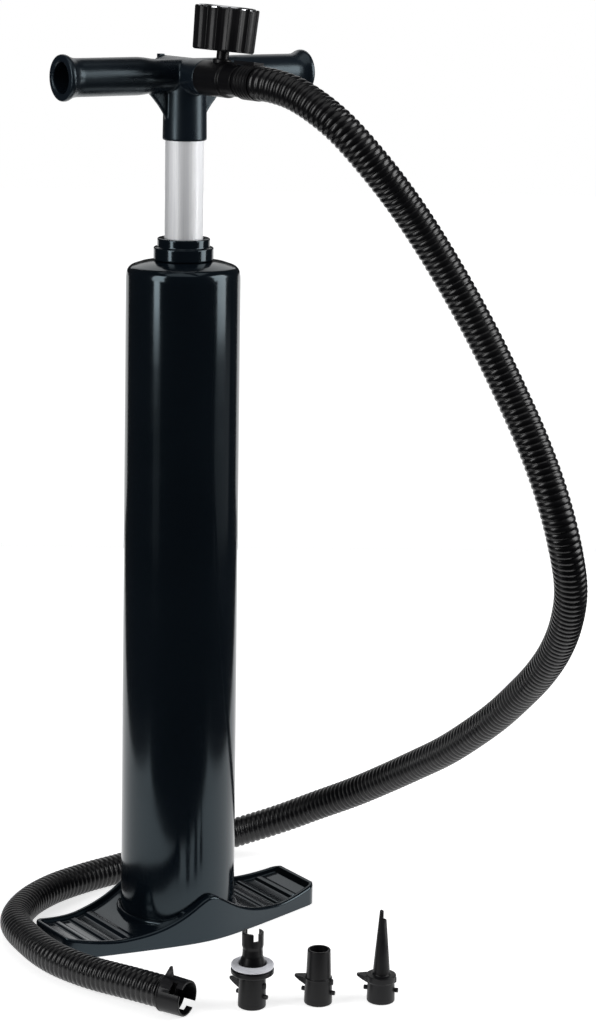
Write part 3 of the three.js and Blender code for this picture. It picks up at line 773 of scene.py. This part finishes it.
# ---- outlet tee, cuff and gauge ---------------------------------------------------------------
def make_tee():
    tee = lathe("outlet_tee_shell", [
        (5.5, 14), (8.1, 14), (8.1, 18), (6.5, 18), (6.5, 20.6), (8.1, 20.6), (8.1, 28.3), (12.4, 28.3),
        (12.4, 56.5), (10.9, 58), (10.9, 72), (9.4, 72.6), (9.4, 73.6), (10.8, 74), (10.8, 76), (8, 76),
        (8, 91), (7.2, 93), (5.5, 93),
    ], AT_OUTLET @ TO_MINUS_Y, 96, 0.45)
    boss = lathe("boss", [(0, 6), (6.4, 6), (6.4, 13.2), (5.8, 13.8), (0, 13.8)], AT_GAUGE, 64, 0.3)
    drill = lathe("drill", [(0, -3), (4.6, -3), (4.6, 20), (0, 20)], AT_GAUGE, 48, 0)
    carve(unite(tee, boss), drill)
    bevelled(tee, 0.25)
    finish_piece(tee, "outlet", BLACK, "plastic_black", "outlet_tee")


def make_cuff():
    """The hose's cuff, with rings that run into the ribs and a latch that reaches over the tee."""
    ribs = [(8.3, 76.3), (11.5, 76.3), (12.1, 77)]
    for k in range(4):
        at = 79 + 3.6 * k
        ribs += [(12.1, at), (11.4, at + 0.5), (11.4, at + 1.1), (12.1, at + 1.6)]
    ribs += [(12.1, 94), (8.3, 94)]
    cuff = lathe("hose_cuff_shell", ribs, AT_OUTLET @ TO_MINUS_Y, 96, 0.3)
    latch = box_at((-4.2, -90, 11.2), (4.2, -66, 13.8), AT_OUTLET)
    bevelled(unite(cuff, latch), 0.35)
    finish_piece(cuff, "outlet", BLACK, "plastic_black", "hose_cuff")


GAUGE_FLUTES = 18
FLUTE_DEPTH = 1.3
CASE_INNER = 20.2
CASE_RIM = 46.3
CASE_TOP = 49
DIAL_TICKS = 28
DIAL_STEP = 10
DIAL_START = -135


def make_gauge_case():
    inner, rim, top = CASE_INNER, CASE_RIM, CASE_TOP

    def fluted(angle, radius, height):
        if radius < 20.9:
            return radius
        across = 2 * ((angle * GAUGE_FLUTES / (2 * math.pi)) % 1.0) - 1
        hollow = min(1.0, 1.08 * (1 - across * across))
        return radius - hollow * min(FLUTE_DEPTH, radius - 20.3)

    case = lathe("gauge_case_shell", [
        (0, 19), (20.4, 19), (21.5, 20.1), (22.5, 48.2), (22.1, top), (21.0, top), (20.7, rim),
        (inner, rim), (inner, 22), (0, 22),
    ], AT_GAUGE, GAUGE_FLUTES * 24, 0.35, fluted)
    notches = []
    for k in range(GAUGE_FLUTES):
        turn = AT_GAUGE @ Matrix.Rotation(math.radians((k + 0.5) * 360 / GAUGE_FLUTES), 4, "Z")
        notches.append(box_at((19, -2.6, top - 1.2), (24, 2.6, top + 1), turn))
    carve(case, unite_loose("notches", notches))
    drill = lathe("drill", [(0, 10), (4.6, 10), (4.6, 30), (0, 30)], AT_GAUGE, 48, 0)
    carve(case, drill)
    finish_piece(case, "outlet", BLACK, "plastic_black", "gauge_case")


def make_gauge_trim():
    """The stem under the case, and the bezel and lens over its dial."""
    stem = lathe("gauge_stem_shell", [
        (1.5, 6), (4.3, 6), (4.3, 22.3), (8, 22.3), (8, 25), (1.5, 25),
    ], AT_GAUGE, 64, 0.3)
    finish_piece(stem, "outlet", BLACK, "brass_plain", "gauge_stem")
    bezel = lathe("gauge_bezel_shell", [
        (18.4, 48.3), (18.4, 49.3), (19.2, 49.8), (20.4, 48.6), (20.4, 46.6), (20.1, 46.6), (20.1, 48.3),
    ], AT_GAUGE, 128, 0.2)
    finish_piece(bezel, "outlet", STEEL, "steel_bright", "gauge_bezel")
    lens = lathe("gauge_lens_disc", [(0, 46.2), (19.9, 46.2), (19.9, 47.6), (14, 48.0), (0, 48.1)],
                 AT_GAUGE, 96, 0.2)
    finish_piece(lens, "outlet", LENS, "lens_clear", "gauge_lens")


def make_gauge_face():
    """The dial with plain ticks, and the pointer on its spindle."""
    dial = lathe("gauge_dial_plate", [(1.4, 41), (19.9, 41), (19.9, 42), (1.4, 42)], AT_GAUGE, 96, 0.1)
    finish_piece(dial, "outlet", WHITE, "plastic_white", "gauge_dial")
    ticks = []
    for k in range(DIAL_TICKS):
        turn = Matrix.Rotation(math.radians(DIAL_START - k * DIAL_STEP), 4, "Z")
        start, half = (14.6, 0.28) if k % 3 == 0 else (16.2, 0.16)
        ticks.append(box_at((start, -half, 42.0), (18, half, 42.12), AT_GAUGE @ turn))
    marks = unite_loose("gauge_dial_marks", ticks)
    finish_piece(marks, "outlet", BLACK, "plastic_black")
    outline = [(-6, -1.2), (-5, -1.5), (0, -1.1), (15.5, -0.25), (15.5, 0.25), (0, 1.1), (-5, 1.5), (-6, 1.2)]
    needle_turn = AT_GAUGE @ Matrix.Rotation(math.radians(DIAL_START), 4, "Z")
    needle = prism(outline, 43.4, 44.2, needle_turn, "gauge_needle_pointer")
    hub = lathe("hub", [(0, 34), (0.9, 34), (0.9, 43), (2.3, 43), (2.3, 44.6), (1.9, 45), (0, 45)],
                AT_GAUGE, 48, 0.2)
    bevelled(unite(needle, hub), 0.12)
    finish_piece(needle, "needle", RED, "needle_red", "gauge_needle")


make_tee()
make_cuff()
make_gauge_case()
make_gauge_trim()
make_gauge_face()


# ---- nozzles ----------------------------------------------------------------------------------
FOOT = [(0, 0), (9.4, 0), (9.9, 0.6), (9.7, 9)]
PEG_HEIGHT = 8.7
LEVER_TOP = 18.9
LEVER_TURN = math.radians(5)


def nozzle_frame(name):
    x, y, turn = NOZZLES[name]
    return Matrix.Translation((x, y, 0)) @ Matrix.Rotation(math.radians(turn), 4, "Z")


def nozzle_fittings(at):
    """Two bayonet pegs, the lever that turns the nozzle and the knob opposite it."""
    pegs = lathe("pegs", [(0, -12.3), (1.65, -12.3), (1.65, 12.3), (0, 12.3)],
                 at @ Matrix.Translation((0, 0, PEG_HEIGHT)) @ TO_PLUS_X, 32, 0.4)
    lever_at = at @ Matrix.Rotation(LEVER_TURN, 4, "Z")
    top = LEVER_TOP
    sections = [(3, 5.6, top - 5.6), (9, 4.6, top - 4.8), (13.5, 3, top - 3), (16.4, 1.7, top - 1.6),
                (17.2, 0.9, top - 1.3)]
    points, faces = [], []
    for x, half, low in sections:
        ring = ((x, -half, low), (x, half, low), (x, half, top), (x, -half, top))
        points += [lever_at @ Vector(p) for p in ring]
    for k in range(len(sections) - 1):
        low, high = 4 * k, 4 * k + 4
        faces += [(low + i, low + (i + 1) % 4, high + (i + 1) % 4, high + i) for i in range(4)]
    last = len(points) - 4
    lever = mesh_object("lever", points, faces + [(0, 1, 2, 3), (last, last + 1, last + 2, last + 3)])
    knob = lathe("knob", [(0, top - 4.4), (2.4, top - 4.4), (2.4, top - 0.6), (0, top - 0.6)],
                 at @ Matrix.Translation((-8.6, 0, 0)), 32, 0.6)
    return [pegs, lever, knob]


def make_wide_nozzle():
    at = nozzle_frame("wide")
    body = lathe("nozzle_wide_shell", FOOT + [
        (9.5, 19.6), (9.3, 23.4), (10.4, 24.5), (14.6, 24.6), (15.1, 25.2), (15.1, 28), (9.2, 28.4),
        (9.2, 32), (8.4, 34.6), (7.3, 37.6), (7, 43), (7.6, 45), (7.6, 54.6), (7.2, 55), (0, 55),
    ], at, 96, 0.7)
    carve(body, box_at((4, -2, 49.6), (9, 2, 62), at @ Matrix.Rotation(math.radians(139.6), 4, "Z")))
    carve(body, box_at((3, -4, 43.4), (9, 4, 62), at @ Matrix.Rotation(math.radians(-62.4), 4, "Z")))
    carve(body, lathe("upper_bore", [(0, 19), (5.7, 19), (5.7, 62), (0, 62)], at, 64, 0))
    unite(body, *nozzle_fittings(at))
    carve(body, lathe("bore", [(0, -5), (7.4, -5), (7.4, 19), (5.3, 21), (0, 21)], at, 64, 0))
    bevelled(body, 0.3)
    finish_piece(body, "wide_nozzle", BLACK, "plastic_black", "nozzle_wide")
    washer = lathe("nozzle_washer_ring", [(9.6, 28.8), (14.9, 28.8), (14.9, 32.1), (9.6, 32.1)], at, 96, 1.2)
    finish_piece(washer, "wide_nozzle", WASHER_GREY, "plastic_grey", "nozzle_washer")


def make_plain_nozzle():
    at = nozzle_frame("plain")
    body = lathe("nozzle_plain_shell", FOOT + [
        (9.5, 18.4), (9.7, 18.8), (8.8, 19.4), (8.1, 39.2), (7.7, 39.7), (0, 39.7),
    ], at, 96, 0.4)
    unite(body, *nozzle_fittings(at))
    bore = lathe("bore", [(0, -5), (7.4, -5), (7.4, 17), (6.7, 19), (6.7, 50), (0, 50)], at, 64, 0)
    bevelled(carve(body, bore), 0.3)
    finish_piece(body, "plain_nozzle", BLACK, "plastic_black", "nozzle_plain")


def make_needle_nozzle():
    at = nozzle_frame("needle")
    body = lathe("nozzle_needle_shell", FOOT + [
        (9.5, 14.6), (10.5, 15.4), (10.5, 19.6), (6.6, 19.8), (6.1, 20.6), (5, 34), (2.1, 67), (0, 67),
    ], at, 96, 0.6)
    cut_turn = at @ Matrix.Rotation(math.radians(-169), 4, "Z")
    notch = box_at((0.6, -8, 60), (8, 8, 70), cut_turn)
    slant = box_at((-8, -8, 0), (8, 8, 9), cut_turn @ Matrix.Translation((0, 0, 66.2))
                   @ Matrix.Rotation(math.radians(28), 4, "Y"))
    carve(body, notch)
    carve(body, slant)
    unite(body, *nozzle_fittings(at))
    bore = lathe("bore", [(0, -5), (7.4, -5), (7.4, 15), (4.4, 17), (1.1, 75), (0, 75)], at, 48, 0)
    bevelled(carve(body, bore), 0.22)
    finish_piece(body, "needle_nozzle", BLACK, "plastic_black", "nozzle_needle")


make_wide_nozzle()
make_plain_nozzle()
make_needle_nozzle()


# ---- studio -----------------------------------------------------------------------------------
CAMERA_SIDE = math.radians(-122.6)
TOWARD_CAMERA = Vector((math.cos(CAMERA_SIDE), math.sin(CAMERA_SIDE), 0))
ACROSS = Vector((-TOWARD_CAMERA.y, TOWARD_CAMERA.x, 0))
FLOOR_CORNERS = ((0.25, -0.42), (0.25, 0.42), (-1.2, 0.6), (-1.2, -0.6))
FLOOR_DROP = 0.0004
BACKDROP_BACK = 1.22
BACKDROP_HALF_WIDTH = 1.0
BACKDROP_HEIGHT = 0.42


def make_floor():
    """A white sheet of paper under the pump, square to the camera, that glows a little."""
    corners = [TOWARD_CAMERA * u + ACROSS * v for u, v in FLOOR_CORNERS]
    floor = mesh_object("floor", corners, [(0, 1, 2, 3)], 1)
    floor.location.z = -FLOOR_DROP
    shader = Shader("floor_paper", (0.8, 0.8, 0.8), 0.95, Specular_IOR_Level=0.05, Emission_Strength=0.72)
    paper = shader.ramp(shader.noise(3, 2), [(0.3, (0.78, 0.78, 0.78)), (0.7, (0.82, 0.82, 0.82))])
    shader.link(paper, "Color", shader.main, "Base Color")
    shader.set("Emission Color", (1, 1, 1, 1))
    floor.data.materials.append(shader.material)


def make_backdrop():
    """A low white card behind the pump, which its glossy edges reflect."""
    ends = [TOWARD_CAMERA * -BACKDROP_BACK + ACROSS * v for v in (-BACKDROP_HALF_WIDTH, BACKDROP_HALF_WIDTH)]
    rise = Vector((0, 0, BACKDROP_HEIGHT))
    card = mesh_object("backdrop", [ends[0], ends[1], ends[1] + rise, ends[0] + rise], [(0, 1, 2, 3)], 1)
    shader = Shader("backdrop_paper", (0.1, 0.1, 0.1), 0.95, Specular_IOR_Level=0.0, Emission_Strength=1.02)
    tone = shader.ramp(shader.noise(3, 2), [(0.3, (0.99, 0.99, 0.99)), (0.7, (1, 1, 1))])
    shader.link(tone, "Color", shader.main, "Emission Color")
    card.data.materials.append(shader.material)


def softbox(name, place, target, size, radiance):
    """A rectangular light of a given brightness, whatever its size."""
    data = bpy.data.lights.new(name, "AREA")
    data.shape = "RECTANGLE"
    data.size, data.size_y = size
    data.energy = radiance * math.pi * size[0] * size[1]
    light = bpy.data.objects.new(name, data)
    turn = (Vector(target) - Vector(place)).to_track_quat("-Z", "Y").to_matrix().to_4x4()
    light.matrix_world = Matrix.Translation(place) @ turn
    bpy.context.scene.collection.objects.link(light)


SOFTBOX_DISTANCE = 1.3


def standing_softbox(name, azimuth, spread_angle, low, high, radiance):
    """An upright softbox that faces the barrel; azimuth and spread are in degrees."""
    angle = math.radians(azimuth)
    middle = (low + high) / 2
    place = (SOFTBOX_DISTANCE * math.cos(angle), SOFTBOX_DISTANCE * math.sin(angle), middle)
    width = 2 * SOFTBOX_DISTANCE * math.tan(math.radians(spread_angle / 2))
    softbox(name, place, (0, 0, middle), (width, high - low), radiance)


SURROUNDINGS = 0.025


def make_world():
    """White where the background is seen directly, and dim in everything it lights."""
    world = bpy.data.worlds.new("studio")
    world.use_nodes = True
    tree = world.node_tree
    seen = tree.nodes.new("ShaderNodeLightPath")
    level = tree.nodes.new("ShaderNodeMapRange")
    level.inputs["To Min"].default_value = SURROUNDINGS
    level.inputs["To Max"].default_value = 1.0
    tree.links.new(seen.outputs["Is Camera Ray"], level.inputs["Value"])
    tree.links.new(level.outputs["Result"], tree.nodes["Background"].inputs["Strength"])
    tree.nodes["Background"].inputs["Color"].default_value = (1, 1, 1, 1)
    bpy.context.scene.world = world


make_floor()
make_backdrop()
make_world()
standing_softbox("right_strip", -40, 22, 0.26, 0.62, 5.2)
standing_softbox("right_high", -42, 36, 0.62, 1.5, 5.5)
standing_softbox("right_card", -34, 40, 0.0, 0.26, 0.24)
standing_softbox("left_strip", 184, 12, 0.26, 0.62, 6.5)
standing_softbox("left_high", 186, 26, 0.62, 1.5, 5.5)
standing_softbox("left_card", 186, 14, 0.0, 0.26, 0.16)
softbox("rear_overhead", (0.75, 1.30, 1.30), (0, 0, 0.1), (1.5, 0.9), 0.9)
softbox("overhead", (-0.2, -0.3, 2.1), (0, 0, 0.3), (1.6, 1.6), 0.8)

bpy.context.scene.view_settings.view_transform = "Standard"
bpy.context.scene.view_settings.look = "None"
